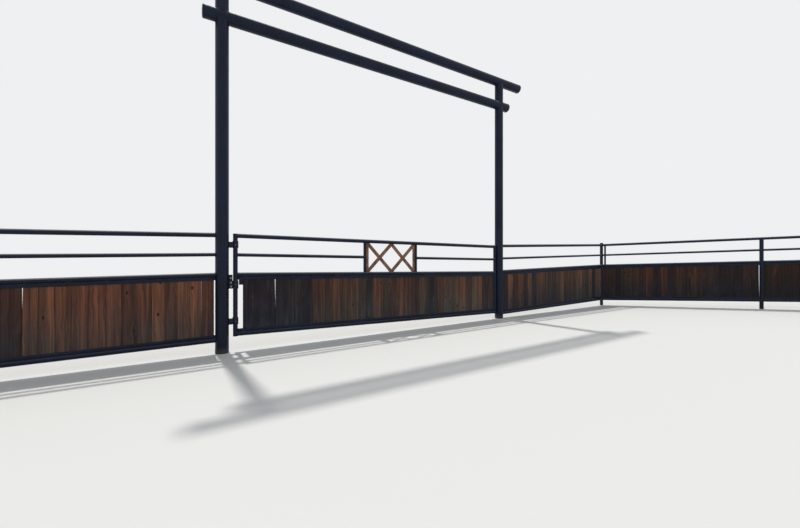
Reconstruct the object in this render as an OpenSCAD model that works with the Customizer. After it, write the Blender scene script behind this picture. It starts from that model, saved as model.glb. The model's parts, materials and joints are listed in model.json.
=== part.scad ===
// Ranch entrance gate: a tall pipe frame with two overhead beams, a swing gate
// and raked fence wings. Millimetres, +Z up. The origin is at the foot of the
// left gate post, +X runs along the gate and +Y points away from the road.

/* [Entrance frame] */
// Outside diameter of the gate posts and the beams
post_od = 168.3; // [150:0.1:219.1]
// Distance between the centres of the gate posts
post_spacing = 5185; // [4600:5:6000]
// Height of the lower beam's centre line
lower_beam_z = 4540; // [3600:10:5000]
// Height of the upper beam's centre line
upper_beam_z = 5030; // [4900:10:5600]
// How far the lower beam runs past a post's centre, cap included
lower_overhang = 240; // [180:5:400]
// How far the upper beam runs past a post's centre, cap included
upper_overhang = 585; // [300:5:900]
// Rise of the domed end caps
cap_rise = 22; // [10:1:40]

/* [Ground] */
// Rise of the ground for each unit of X
grade = 0.02; // [0:0.005:0.04]

/* [Pipe sizes] */
// Outside diameter of the rails and the gate's uprights
rail_od = 60.3; // [50:0.1:73]
// Outside diameter of the second rails and the panel uprights
slim_od = 48.3; // [40:0.1:50]
// Outside diameter of the short uprights beside the corner posts
stile_od = 42.2; // [33:0.1:44]
// Outside diameter of the fence posts
fence_post_od = 73; // [73:0.1:90]

/* [Gate] */
// Distance from the post's centre to the hinge axis
hinge_x = 164; // [160:1:180]
// Width of the gate over its uprights
gate_w = 4960; // [4400:10:4960]
// Height of the top rail's centre line
top_z = 1590; // [1500:5:1700]
// Height of the second rail's centre line
second_z = 1328; // [1300:1:1360]
// Height of the third rail's centre line
third_z = 1055; // [1000:1:1100]
// Height of the gate's bottom rail
gate_bottom_z = 241; // [200:1:300]
// Gap between the hinge upright and the first board
board_gap = 66; // [20:1:90]
// Height of the lower edge of the plate in the gate's hinge corner
corner_plate_z = 915; // [880:1:970]
// Distance between the two uprights beside the ornament
ornament_w = 1000; // [800:10:1200]
// Width of the ornament's bars
ornament_bar = 58; // [30:1:70]
// Width of the upright strips at the ornament's sides
ornament_side = 44; // [20:1:60]
// Thickness of the ornament's plate
ornament_t = 10; // [6:1:16]

/* [Boards] */
// Thickness of the boards
board_t = 22; // [18:1:26]
// Open gap between a gate post and the first board of a wing
post_gap = 14; // [3:1:30]
// Open gap between the last board of the second bay and the line post
line_gap = 19; // [3:1:30]
// Height of the channels that hold the boards
channel_h = 40; // [30:1:50]
// Wall thickness of the channels
channel_t = 6; // [4:1:8]

/* [Wings] */
// Length of the first bay beside a gate post
first_bay = 3730; // [3000:10:4200]
// Length of a bay of the flared part
flare_bay = 3200; // [2600:10:3600]
// Angle by which the flared part turns towards the road
flare_angle = 53; // [30:1:70]
// Height of the wings' bottom rail
wing_bottom_z = 180; // [150:1:240]
// How much higher the right wing starts
right_lift = 20; // [0:1:40]
// Rise of the left wing's rails for each unit of X
left_rake = 0.028; // [0:0.001:0.04]
// Rise of the right wing's rails for each unit of X
right_rake = 0.0375; // [0:0.0005:0.04]
// How far a corner post stands above its top rail's centre
post_rise = 62; // [50:1:90]

/* [Hinges] */
// Clearance between the hinge upright and a collar
collar_gap = 1.6; // [1:0.1:3]
// Wall thickness of the collars
collar_t = 7; // [5:0.5:10]
// Height of the upper and lower collars
collar_h = 80; // [60:1:110]
// Height of the middle collar
middle_collar_h = 110; // [60:1:130]
// Height of the middle hinge's top plate
middle_plate_z = 1055; // [1000:1:1080]

/* [Hidden] */
$fn = 64;
post_r = post_od / 2;
rail_r = rail_od / 2;
slim_r = slim_od / 2;
fence_r = fence_post_od / 2;
latch_x = hinge_x - rail_r + gate_w - rail_r;
ornament_x = (hinge_x + latch_x) / 2;
hinge_heights = [416, 920, 1463];
// Weld gap left between pieces that are fitted to each other
fit = 0.05;
BLACK = [0.05, 0.055, 0.07];
CEDAR = [0.3, 0.14, 0.09];
RUST = [0.42, 0.2, 0.12];

// Heading of a bay in plan, measured from +X. side is -1 on the left, 1 on the right.
function heading(side, bay) = (side < 0 ? 180 : 0) - side * (bay > 1 ? flare_angle : 0);
function bay_length(bay) = bay == 1 ? first_bay : flare_bay;
function rake(side) = side < 0 ? left_rake : right_rake;
function gate_post_x(side) = side < 0 ? 0 : post_spacing;
// Plan position of the post at the outer end of a bay; bay 0 is the gate post.
function post_at(side, bay) = bay == 0
    ? [gate_post_x(side), 0]
    : post_at(side, bay - 1)
        + bay_length(bay) * [cos(heading(side, bay)), sin(heading(side, bay))];
// How far the wing's rails have risen above their start at plan position x.
function wing_rise(side, x) = rake(side) * (x - gate_post_x(side)) + (side > 0 ? right_lift : 0);
function bay_slope(side, bay) = rake(side) * cos(heading(side, bay));
function start_radius(bay) = bay == 1 ? post_r : fence_r;

// A level round pipe along +X from x0 to x1.
module pipe_x(x0, x1, od) {
    translate([x0, 0, 0]) rotate([0, 90, 0]) cylinder(h = x1 - x0, d = od);
}

// How far from a post's centre a coped pipe starts, so that its saddle has no thin tips.
function cope_start(r_post, r_pipe) = sqrt(max(0, r_post * r_post - pow(0.85 * r_pipe, 2)));

// A pipe between two upright round posts at x = 0 and x = len, its ends cut to
// saddles that fit round them. A radius of 0 leaves that end square, with the weld
// gap at the far end.
module coped_pipe(len, od, r0, r1, slope = 0) {
    x0 = r0 > 0 ? cope_start(r0, od / 2) : 0;
    x1 = r1 > 0 ? cope_start(r1, od / 2) : fit;
    run = sqrt(1 + slope * slope);
    difference() {
        rotate([0, -atan(slope), 0]) pipe_x(x0 * run, (len - x1) * run, od);
        if (r0 > 0) translate([0, 0, -od]) cylinder(h = 2 * od, r = r0 + fit);
        if (r1 > 0) translate([len, 0, -od + len * slope]) cylinder(h = 2 * od, r = r1 + fit);
    }
}

// A slab along +X with upright ends whose long edges follow the slope.
module raked_slab(x0, x1, z0, z1, thick, slope) {
    rotate([90, 0, 0]) translate([0, 0, -thick / 2]) linear_extrude(thick)
        polygon([[x0, z0 + x0 * slope], [x1, z0 + x1 * slope],
                 [x1, z1 + x1 * slope], [x0, z1 + x0 * slope]]);
}

// A channel along +X that holds the ends of the boards. up = 1 opens upwards.
module board_channel(x0, x1, z0, up, slope) {
    difference() {
        raked_slab(x0, x1, z0, z0 + channel_h, board_t + 2 * channel_t, slope);
        raked_slab(x0 - 1, x1 + 1, z0 + (up > 0 ? channel_t : -1),
                   z0 + (up > 0 ? channel_h + 1 : channel_h - channel_t), board_t, slope);
    }
}

// A shallow dome on a disc of radius r, rising along +Z from z = 0.
module dome(r, rise) {
    edge = 0.18 * r;
    rotate_extrude()
        polygon(concat([[0, 0], [r, 0], [r, rise * 0.3]],
            [for (a = [15 : 15 : 75]) [r - edge + edge * cos(a), rise * (0.3 + 0.5 * sin(a))]],
            [[r - edge, rise * 0.8], [(r - edge) * 0.66, rise * 0.92],
             [(r - edge) * 0.33, rise * 0.98], [0, rise]]));
}

// A gate post, its top cut to a saddle under the upper beam.
module gate_post(side) {
    x = gate_post_x(side);
    color(BLACK) difference() {
        translate([x, 0, grade * x]) cylinder(h = upper_beam_z - 45 - grade * x, r = post_r);
        translate([0, 0, upper_beam_z]) pipe_x(x - 2 * post_r, x + 2 * post_r, post_od + 2 * fit);
    }
}
module left_gate_post() gate_post(-1);
module right_gate_post() gate_post(1);

module lower_beam() {
    color(BLACK) translate([0, 0, lower_beam_z])
        coped_pipe(post_spacing, post_od, post_r, post_r);
}

// The two short ends of the lower beam, outside the posts.
module lower_beam_stubs() {
    stub = lower_overhang - cap_rise;
    color(BLACK) translate([0, 0, lower_beam_z]) {
        translate([post_spacing, 0, 0]) coped_pipe(stub, post_od, post_r, 0);
        mirror([1, 0, 0]) coped_pipe(stub, post_od, post_r, 0);
    }
}

module upper_beam() {
    over = upper_overhang - cap_rise;
    color(BLACK) translate([0, 0, upper_beam_z]) pipe_x(-over, post_spacing + over, post_od);
}

module beam_caps() {
    color(BLACK) for (beam = [[lower_beam_z, lower_overhang], [upper_beam_z, upper_overhang]]) {
        over = beam[1] - cap_rise;
        translate([post_spacing + over, 0, beam[0]]) rotate([0, 90, 0]) dome(post_r, cap_rise);
        translate([-over, 0, beam[0]]) rotate([0, -90, 0]) dome(post_r, cap_rise);
    }
}

// A collar on an arm from the post, around the gate's hinge upright.
module hinge_collar(z, h) {
    bore_r = rail_r + collar_gap;
    outer_r = bore_r + collar_t;
    color(BLACK) translate([0, 0, z - h / 2]) difference() {
        union() {
            translate([hinge_x, 0, 0]) cylinder(h = h, r = outer_r);
            translate([post_r - 12, -22, 0]) cube([hinge_x - post_r - 10, 44, h]);
        }
        translate([hinge_x, 0, -1]) cylinder(h = h + 2, r = bore_r);
        translate([0, 0, -1]) cylinder(h = h + 2, r = post_r);
    }
}
module lower_hinge() hinge_collar(hinge_heights[0], collar_h);
// The middle hinge also has a gusset that rises along the post to a top plate.
module middle_hinge() {
    top = hinge_heights[1] + middle_collar_h / 2;
    reach = hinge_x - rail_r - 6 - post_r;
    hinge_collar(hinge_heights[1], middle_collar_h);
    color(BLACK) difference() {
        union() {
            translate([post_r - 8, -9, top - 20])
                cube([reach + 8, 18, middle_plate_z - top + 14]);
            translate([post_r - 16, -28, middle_plate_z - 10]) cube([reach + 13, 56, 10]);
        }
        translate([0, 0, top - 40]) cylinder(h = 200, r = post_r);
        translate([hinge_x, 0, top - 40]) cylinder(h = 40 + fit, r = rail_r + collar_gap);
    }
}
module upper_hinge() hinge_collar(hinge_heights[2], collar_h);

module gate_upright(x) {
    cap = 7;
    h = top_z - gate_bottom_z + rail_od - cap;
    color(BLACK) translate([x, 0, gate_bottom_z - rail_r]) {
        cylinder(h = h, r = rail_r);
        translate([0, 0, h]) dome(rail_r, cap);
    }
}
module gate_hinge_upright() gate_upright(hinge_x);
module gate_latch_upright() gate_upright(latch_x);

// Rings on the hinge upright that ride on top of the lower and upper collars.
module gate_hinge_rings() {
    color(BLACK) for (z = [hinge_heights[0], hinge_heights[2]])
        translate([hinge_x, 0, z + collar_h / 2 + 1]) difference() {
            cylinder(h = 14, r = rail_r + collar_gap + collar_t - 1);
            translate([0, 0, -1]) cylinder(h = 16, r = rail_r);
        }
}

// A rail between the gate's two outer uprights.
module gate_rail(z, od) {
    color(BLACK) translate([hinge_x, 0, z]) coped_pipe(latch_x - hinge_x, od, rail_r, rail_r);
}
module gate_top_rail() gate_rail(top_z, rail_od);
module gate_third_rail() gate_rail(third_z, rail_od);
module gate_bottom_rail() gate_rail(gate_bottom_z, rail_od);

// The second rail stops at the uprights beside the ornament.
module gate_second_rail() {
    left_x = ornament_x - ornament_w / 2;
    right_x = ornament_x + ornament_w / 2;
    color(BLACK) translate([0, 0, second_z]) {
        translate([hinge_x, 0, 0]) coped_pipe(left_x - hinge_x, slim_od, rail_r, slim_r);
        translate([right_x, 0, 0]) coped_pipe(latch_x - right_x, slim_od, slim_r, rail_r);
    }
}

// Uprights beside the ornament, coped between the third and top rails.
module gate_panel_uprights() {
    color(BLACK) for (x = [ornament_x - ornament_w / 2, ornament_x + ornament_w / 2])
        difference() {
            translate([x, 0, third_z + rail_r * 0.6])
                cylinder(h = top_z - third_z - rail_od * 0.6, r = slim_r);
            translate([0, 0, third_z]) pipe_x(x - rail_od, x + rail_od, rail_od + 2 * fit);
            translate([0, 0, top_z]) pipe_x(x - rail_od, x + rail_od, rail_od + 2 * fit);
        }
}

// Two crossed pairs of bars between upright side strips, all cut from one plate. They
// leave one whole lozenge in the middle and half a lozenge at each side.
module gate_ornament() {
    half_h = (top_z - third_z) / 2 - rail_r - fit;
    half_w = ornament_w / 2 - slim_r - fit;
    inner = half_w - ornament_side / 2;
    color(RUST) translate([ornament_x, ornament_t / 2, (top_z + third_z) / 2]) rotate([90, 0, 0])
        linear_extrude(ornament_t) intersection() {
            square([2 * half_w, 2 * half_h], center = true);
            union() {
                for (s = [-1, 1]) {
                    translate([s * (half_w - ornament_side / 2), 0])
                        square([ornament_side, 2 * half_h], center = true);
                    ornament_bar_between([0, half_h], [s * inner, -half_h]);
                    ornament_bar_between([0, -half_h], [s * inner, half_h]);
                }
            }
        }
}
// A straight bar between two points, run on past both of them.
module ornament_bar_between(a, b) {
    d = b - a;
    translate((a + b) / 2) rotate([0, 0, atan2(d[1], d[0])])
        square([norm(d) + 2 * ornament_bar, ornament_bar], center = true);
}

module gate_boards() {
    z0 = gate_bottom_z + rail_r + channel_t;
    z1 = third_z - rail_r - channel_t;
    color(CEDAR) raked_slab(hinge_x + rail_r + board_gap, latch_x - rail_r - 12,
        z0 + fit, z1 - fit, board_t - 2 * fit, 0);
}

// The gate's two channels. A plate hangs from the upper one in the hinge corner, and
// leaves room for the middle collar.
module gate_channels() {
    x0 = hinge_x + rail_r;
    x1 = latch_x - rail_r;
    plate_x = x0 + collar_gap + collar_t + 6;
    color(BLACK) {
        translate([plate_x, -5, corner_plate_z])
            cube([x0 + board_gap - 1 - plate_x, 10, third_z - rail_r - 3 - corner_plate_z]);
        board_channel(x0, x1, gate_bottom_z + rail_r, 1, 0);
        board_channel(x0, x1, third_z - rail_r - channel_h, -1, 0);
    }
}

// Places its children in the frame of a bay: x runs along the bay from its inner
// post, and z = 0 is the datum of the rail heights at that post.
module in_bay(side, bay) {
    p = post_at(side, bay - 1);
    translate([p[0], p[1], wing_rise(side, p[0])]) rotate([0, 0, heading(side, bay)]) children();
}

// The four rails of a bay. The top rail of a flared bay runs over the line post.
module bay_rails(side, bay) {
    len = bay_length(bay);
    slope = bay_slope(side, bay);
    r0 = start_radius(bay);
    color(BLACK) in_bay(side, bay) {
        for (rail = [[second_z, slim_od], [third_z, rail_od], [wing_bottom_z, rail_od]])
            translate([0, 0, rail[0]]) coped_pipe(len, rail[1], r0, fence_r, slope);
        translate([0, 0, top_z])
            coped_pipe(len, rail_od, bay == 3 ? 0 : r0, bay == 2 ? 0 : fence_r, slope);
    }
}

module bay_boards(side, bay) {
    slope = bay_slope(side, bay);
    lift = rail_r * sqrt(1 + slope * slope);
    color(CEDAR) in_bay(side, bay)
        raked_slab(start_radius(bay) + (bay == 1 ? post_gap : 1),
                   bay_length(bay) - fence_r - (bay == 2 ? line_gap : 1),
                   wing_bottom_z + lift + channel_t + fit, third_z - lift - channel_t - fit,
                   board_t - 2 * fit, slope);
}

module bay_channels(side, bay) {
    slope = bay_slope(side, bay);
    lift = rail_r * sqrt(1 + slope * slope);
    x0 = start_radius(bay);
    x1 = bay_length(bay) - fence_r;
    color(BLACK) in_bay(side, bay) {
        board_channel(x0, x1, wing_bottom_z + lift, 1, slope);
        board_channel(x0, x1, third_z - lift - channel_h, -1, slope);
    }
}

// A capped post at a corner or at the end of a wing, with the rails butted to it.
module capped_post(side, bay) {
    p = post_at(side, bay);
    foot = grade * p[0];
    top = top_z + wing_rise(side, p[0]) + post_rise - 12;
    color(BLACK) translate([p[0], p[1], foot]) {
        cylinder(h = top - foot, r = fence_r);
        translate([0, 0, top - foot]) dome(fence_r, 12);
    }
}

// A post in the line of the flared part, cut to a saddle under the top rail.
module line_post(side) {
    p = post_at(side, 2);
    foot = grade * p[0];
    rail = top_z + wing_rise(side, p[0]);
    color(BLACK) difference() {
        translate([p[0], p[1], foot]) cylinder(h = rail - 8 - foot, r = fence_r);
        translate([p[0], p[1], rail]) rotate([0, 0, heading(side, 2)])
            rotate([0, -atan(bay_slope(side, 2)), 0]) pipe_x(-fence_post_od, fence_post_od, rail_od + 2 * fit);
    }
}

// Short uprights beside the corner posts, coped between the rails.
module corner_stiles() {
    x = fence_r + 46;
    color(BLACK) for (side = [-1, 1]) {
        slope = bay_slope(side, 2);
        in_bay(side, 2) difference() {
            translate([x, 0, third_z + slope * x + rail_r * 0.6])
                cylinder(h = top_z - third_z - rail_od * 0.6, d = stile_od);
            translate([0, 0, third_z]) rotate([0, -atan(slope), 0]) pipe_x(0, 2 * x, rail_od);
            translate([0, 0, top_z]) rotate([0, -atan(slope), 0]) pipe_x(0, 2 * x, rail_od);
            translate([0, 0, second_z]) rotate([0, -atan(slope), 0]) pipe_x(0, 2 * x, slim_od);
        }
    }
}

left_gate_post();
right_gate_post();
lower_beam();
lower_beam_stubs();
upper_beam();
beam_caps();
lower_hinge();
middle_hinge();
upper_hinge();
gate_hinge_upright();
gate_latch_upright();
gate_hinge_rings();
gate_top_rail();
gate_second_rail();
gate_third_rail();
gate_bottom_rail();
gate_panel_uprights();
gate_ornament();
gate_boards();
gate_channels();
bay_rails(-1, 1);  // left_bay_1_rails
bay_boards(-1, 1);  // left_bay_1_boards
bay_channels(-1, 1);  // left_bay_1_channels
bay_rails(-1, 2);  // left_bay_2_rails
bay_boards(-1, 2);  // left_bay_2_boards
bay_channels(-1, 2);  // left_bay_2_channels
bay_rails(-1, 3);  // left_bay_3_rails
bay_boards(-1, 3);  // left_bay_3_boards
bay_channels(-1, 3);  // left_bay_3_channels
bay_rails(1, 1);  // right_bay_1_rails
bay_boards(1, 1);  // right_bay_1_boards
bay_channels(1, 1);  // right_bay_1_channels
bay_rails(1, 2);  // right_bay_2_rails
bay_boards(1, 2);  // right_bay_2_boards
bay_channels(1, 2);  // right_bay_2_channels
bay_rails(1, 3);  // right_bay_3_rails
bay_boards(1, 3);  // right_bay_3_boards
bay_channels(1, 3);  // right_bay_3_channels
capped_post(-1, 1);  // left_corner_post
line_post(-1);  // left_line_post
capped_post(-1, 3);  // left_end_post
capped_post(1, 1);  // right_corner_post
line_post(1);  // right_line_post
capped_post(1, 3);  // right_end_post
corner_stiles();
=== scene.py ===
# %% [markdown]
# # A ranch entrance gate
# Two tall posts carry two round beams over a driveway. A long swing gate hangs on the
# left post, and fence wings of the same pipe and upright boards run off on both sides.
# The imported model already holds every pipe, hinge and channel at its real size. This
# script adds what a model of solids leaves out: single boards, welds, screws, paint, rust.

# %% Load the frame
import json
import math

import bmesh
import bpy
from mathutils import Matrix, Vector


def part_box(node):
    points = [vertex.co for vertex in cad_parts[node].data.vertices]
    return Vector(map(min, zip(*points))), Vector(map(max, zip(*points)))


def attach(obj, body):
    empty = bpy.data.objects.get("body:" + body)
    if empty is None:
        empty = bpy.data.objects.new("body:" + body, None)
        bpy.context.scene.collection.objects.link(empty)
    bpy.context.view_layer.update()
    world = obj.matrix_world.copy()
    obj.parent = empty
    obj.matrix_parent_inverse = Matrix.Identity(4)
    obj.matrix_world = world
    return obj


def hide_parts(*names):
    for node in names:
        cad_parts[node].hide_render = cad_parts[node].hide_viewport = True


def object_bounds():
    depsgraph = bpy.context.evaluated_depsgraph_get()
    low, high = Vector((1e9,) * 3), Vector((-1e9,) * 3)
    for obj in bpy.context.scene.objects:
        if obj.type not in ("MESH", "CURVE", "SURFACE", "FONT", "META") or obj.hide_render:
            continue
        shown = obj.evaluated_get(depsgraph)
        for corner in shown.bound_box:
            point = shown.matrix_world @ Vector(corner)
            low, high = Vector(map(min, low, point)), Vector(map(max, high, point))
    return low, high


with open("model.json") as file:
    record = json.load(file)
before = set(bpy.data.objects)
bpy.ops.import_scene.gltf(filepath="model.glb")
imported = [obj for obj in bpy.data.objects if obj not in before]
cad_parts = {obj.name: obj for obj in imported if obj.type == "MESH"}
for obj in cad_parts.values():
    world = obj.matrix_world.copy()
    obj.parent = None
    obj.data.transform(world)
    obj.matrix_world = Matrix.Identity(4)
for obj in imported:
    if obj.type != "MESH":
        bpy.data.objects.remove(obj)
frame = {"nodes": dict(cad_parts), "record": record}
cad_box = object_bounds()
nodes = frame["nodes"]
feet = {m["name"]: Vector(m["pos_m"]) for m in frame["record"]["mounts"]}
print(len(nodes), "nodes, box", [tuple(round(c, 3) for c in corner) for corner in cad_box])

# %% [markdown]
# The camera stands where the photographer stood: in front of the left post, at chest
# height, with a wide lens. The view is level, so the posts stay upright in the picture,
# and a small shift puts the horizon at its true row and the view's middle at its column.

# %% The camera
def linked(name, data):
    """A new object of this data, in the scene."""
    thing = bpy.data.objects.new(name, data)
    bpy.context.scene.collection.objects.link(thing)
    return thing


PHOTO_WIDTH = 800
PHOTO_HEIGHT = 528
FOCAL_PIXELS = 355.6
MIDDLE_COLUMN = 400.6
HORIZON_ROW = 268.4
camera_data = bpy.data.cameras.new("photo_camera")
camera_data.sensor_width = 36.0
camera_data.lens = 36.0 * FOCAL_PIXELS / PHOTO_WIDTH
camera_data.shift_x = (PHOTO_WIDTH / 2 - MIDDLE_COLUMN) / PHOTO_WIDTH
camera_data.shift_y = (HORIZON_ROW - PHOTO_HEIGHT / 2) / PHOTO_WIDTH
camera_data.clip_end = 500.0
camera = linked("photo_camera", camera_data)
camera.location = (-0.36, -5.364, 1.141)
camera.rotation_euler = (math.radians(90), 0.0, math.radians(-30.5))
bpy.context.scene.camera = camera
bpy.context.scene.view_settings.view_transform = "Standard"
print("lens", round(camera_data.lens, 2), "mm")

# %% [markdown]
# Every material and every Geometry Nodes tree below is built from nodes, so one small
# helper adds a node, sets its plain values and links the sockets it is given.


# %% Node helpers
def add(tree, kind, inputs=None, **settings):
    """Adds a node. A value in inputs is a socket to link or a number to set."""
    node = tree.nodes.new(kind)
    for name, value in settings.items():
        setattr(node, name, value)
    for key, value in (inputs or {}).items():
        if isinstance(value, bpy.types.NodeSocket):
            tree.links.new(value, node.inputs[key])
        else:
            node.inputs[key].default_value = value
    return node


def calc(tree, operation, a, b=0.0, c=0.0, clamp=False):
    """One step of arithmetic."""
    node = add(tree, "ShaderNodeMath", {0: a, 1: b, 2: c}, operation=operation, use_clamp=clamp)
    return node.outputs[0]


def times(tree, a, b):
    return calc(tree, "MULTIPLY", a, b)


def point(tree, x=0.0, y=0.0, z=0.0):
    return add(tree, "ShaderNodeCombineXYZ", {"X": x, "Y": y, "Z": z}).outputs[0]


def ease(tree, value, low, high):
    """0 below low, 1 above high and a smooth ramp between; low may be the larger one."""
    node = add(tree, "ShaderNodeMapRange", {"Value": value, "From Min": low, "From Max": high},
               interpolation_type="SMOOTHSTEP")
    return node.outputs["Result"]


def mix(tree, factor, a, b, blend="MIX"):
    """Blends two colours; each may be a socket or three numbers."""
    node = tree.nodes.new("ShaderNodeMix")
    node.data_type = "RGBA"
    node.blend_type = blend
    for socket, value in zip((node.inputs[0], node.inputs[6], node.inputs[7]), (factor, a, b)):
        if isinstance(value, bpy.types.NodeSocket):
            tree.links.new(value, socket)
        else:
            socket.default_value = value if isinstance(value, (int, float)) else (*value, 1.0)
    return node.outputs[2]


def stain(tree, colour, mask, amount, shade):
    """Covers a colour with a shade where the mask is, up to this amount."""
    return mix(tree, times(tree, mask, amount), colour, shade)


def tinted(tree, colour, field, low, high):
    """Multiplies a colour by low where the field is 0 and by high where it is 1."""
    return mix(tree, field, mix(tree, 1.0, colour, low, "MULTIPLY"),
               mix(tree, 1.0, colour, high, "MULTIPLY"))


def attribute(tree, name, output="Fac"):
    return add(tree, "ShaderNodeAttribute", attribute_name=name).outputs[output]


def noise(tree, vector, scale, detail=4.0, roughness=0.55):
    node = add(tree, "ShaderNodeTexNoise",
               {"Vector": vector, "Scale": scale, "Detail": detail, "Roughness": roughness})
    return node.outputs["Fac"]


def stretched(tree, vector, x, y, z):
    return add(tree, "ShaderNodeMapping", {"Vector": vector, "Scale": (x, y, z)}).outputs[0]


# %% [markdown]
# A material starts from an empty tree, a shader and the object's own coordinates. Since
# every piece's place is in its mesh, those are also the coordinates of the whole gate.


# %% Start and finish a material
def new_material(name):
    material = bpy.data.materials.new(name)
    material.use_nodes = True
    tree = material.node_tree
    tree.nodes.clear()
    shader = add(tree, "ShaderNodeBsdfPrincipled")
    add(tree, "ShaderNodeOutputMaterial", {"Surface": shader.outputs[0]})
    coords = add(tree, "ShaderNodeTexCoord").outputs["Object"]
    return material, tree, shader, coords


def connect(tree, shader, colour, roughness, height, distance):
    """Feeds the shader its colour and roughness, and a bump of this height in metres."""
    tree.links.new(colour, shader.inputs["Base Color"])
    tree.links.new(roughness, shader.inputs["Roughness"])
    raised = add(tree, "ShaderNodeBump", {"Height": height, "Distance": distance, "Strength": 1.0})
    tree.links.new(raised.outputs[0], shader.inputs["Normal"])


# %% [markdown]
# The pipe is painted black with a blue cast, in a soft gloss. Whatever faces up is paler,
# partly chalky dust and partly a painted highlight of the sun on the tops, which draws a
# pale line along each rail; lower down it is painted weaker, as painted shade where the
# boards keep the sun off.
# Soil splashes over the last hand's width above the ground, and a little rust shows
# through the paint. All of it is worked out from where a point lies, so no two pipes
# match. Welds use the same paint with more rust, because paint holds badly on them.

# %% Black paint
GRADE = 0.02


def black_paint(name, rust_level, rubbed_bare=False):
    material, tree, shader, coords = new_material(name)
    place = add(tree, "ShaderNodeSeparateXYZ", {0: coords})
    height = calc(tree, "SUBTRACT", place.outputs["Z"], times(tree, place.outputs["X"], GRADE))
    facing = add(tree, "ShaderNodeSeparateXYZ",
                 {0: add(tree, "ShaderNodeNewGeometry").outputs["Normal"]}).outputs["Z"]
    fine = noise(tree, coords, 38.0, 6.0, 0.65)
    clouds = noise(tree, coords, 1.7, 5.0)
    colour = mix(tree, ease(tree, clouds, 0.35, 0.65), (0.0033, 0.0072, 0.02), (0.006, 0.012, 0.034))
    runs = noise(tree, stretched(tree, coords, 26.0, 26.0, 0.9), 1.0, 4.0, 0.6)
    colour = stain(tree, colour, ease(tree, runs, 0.52, 0.78), 0.22, (0.045, 0.048, 0.055))
    settled = calc(tree, "MULTIPLY_ADD", noise(tree, coords, 5.0, 5.0, 0.6), 0.5, times(tree, fine, 0.6))
    # Pale tops: partly dust, partly a painted highlight of the sun, painted weaker lower down as shade.
    painted_sun_by_height = calc(tree, "MULTIPLY_ADD", ease(tree, height, 0.35, 0.9), 0.8, 0.2)
    dust_and_painted_highlight = times(tree, times(tree, ease(tree, facing, 0.25, 0.7), settled), painted_sun_by_height)
    colour = stain(tree, colour, dust_and_painted_highlight, 0.6, (0.4, 0.39, 0.375))
    reach = calc(tree, "MULTIPLY_ADD", noise(tree, coords, 0.55, 2.0), 0.2, -0.07)
    ragged = calc(tree, "MULTIPLY_ADD", fine, -0.07, calc(tree, "SUBTRACT", height, reach))
    splash = ease(tree, ragged, 0.04, -0.06)
    colour = stain(tree, colour, splash, 0.25, (0.2, 0.17, 0.14))
    specks = ease(tree, noise(tree, coords, 21.0, 8.0, 0.7), rust_level, rust_level + 0.06)
    colour = stain(tree, colour, specks, 0.7, (0.1, 0.047, 0.03))
    rough = calc(tree, "MULTIPLY_ADD", fine, 0.14, 0.27)
    rough = calc(tree, "MULTIPLY_ADD", dust_and_painted_highlight, 0.4, rough)
    if rubbed_bare:
        rubbed = ease(tree, noise(tree, coords, 46.0, 7.0, 0.72), 0.57, 0.66)
        colour = stain(tree, colour, rubbed, 0.8, (0.15, 0.145, 0.14))
        tree.links.new(times(tree, rubbed, 0.6), shader.inputs["Metallic"])
    rough = calc(tree, "MULTIPLY_ADD", specks, 0.3, rough)
    rough = calc(tree, "MULTIPLY_ADD", splash, 0.4, rough, clamp=True)
    peel = calc(tree, "MULTIPLY_ADD", specks, 1.5, noise(tree, coords, 240.0, 2.0))
    shader.inputs["Specular IOR Level"].default_value = 0.18
    connect(tree, shader, colour, rough, peel, 0.00012)
    return material


PAINT = black_paint("black_pipe_paint", 0.67)
WELD_PAINT = black_paint("weld_paint", 0.6)
RUBBED_PAINT = black_paint("rubbed_paint", 0.62, rubbed_bare=True)
print("paint:", len(PAINT.node_tree.nodes), "nodes")

# %% [markdown]
# The boards are rough cedar, stained red-brown and weathered unevenly since. A board's
# own tone and warmth are attributes that the row of boards gives it: some boards have
# kept their red, others have turned olive or nearly black, and all lose it towards their
# feet, which turn bluer, partly from weathering and partly as painted shade of the open sky.
# Cars throw dust on the gate's feet, which are also painted lighter as light thrown up from
# the sunlit ground; damp ground has darkened the wings' feet, which are also painted darker
# as shade (one attribute per row, below 0 for the lighter feet). A third attribute paints
# shade as under trees: it turns the wood of the outer bays browner and darker.
#
# The grain is noise drawn out along the board, the growth lines are a distorted wave, and
# the knots are the near points of a sparse cell pattern, with the growth lines bent round
# them. Faint saw marks run across, and a few fine cracks run along. Dirt gathers at the
# joints, at some more than at others, so a board's "where" attribute tells how far a
# point is from the board's middle, and how far up.

# %% Cedar
BOARD_TONES = [(0.0, (0.0155, 0.015, 0.027)), (0.25, (0.042, 0.031, 0.032)), (0.5, (0.071, 0.046, 0.039)),
               (0.75, (0.106, 0.065, 0.049)), (1.0, (0.165, 0.102, 0.072))]


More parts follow.
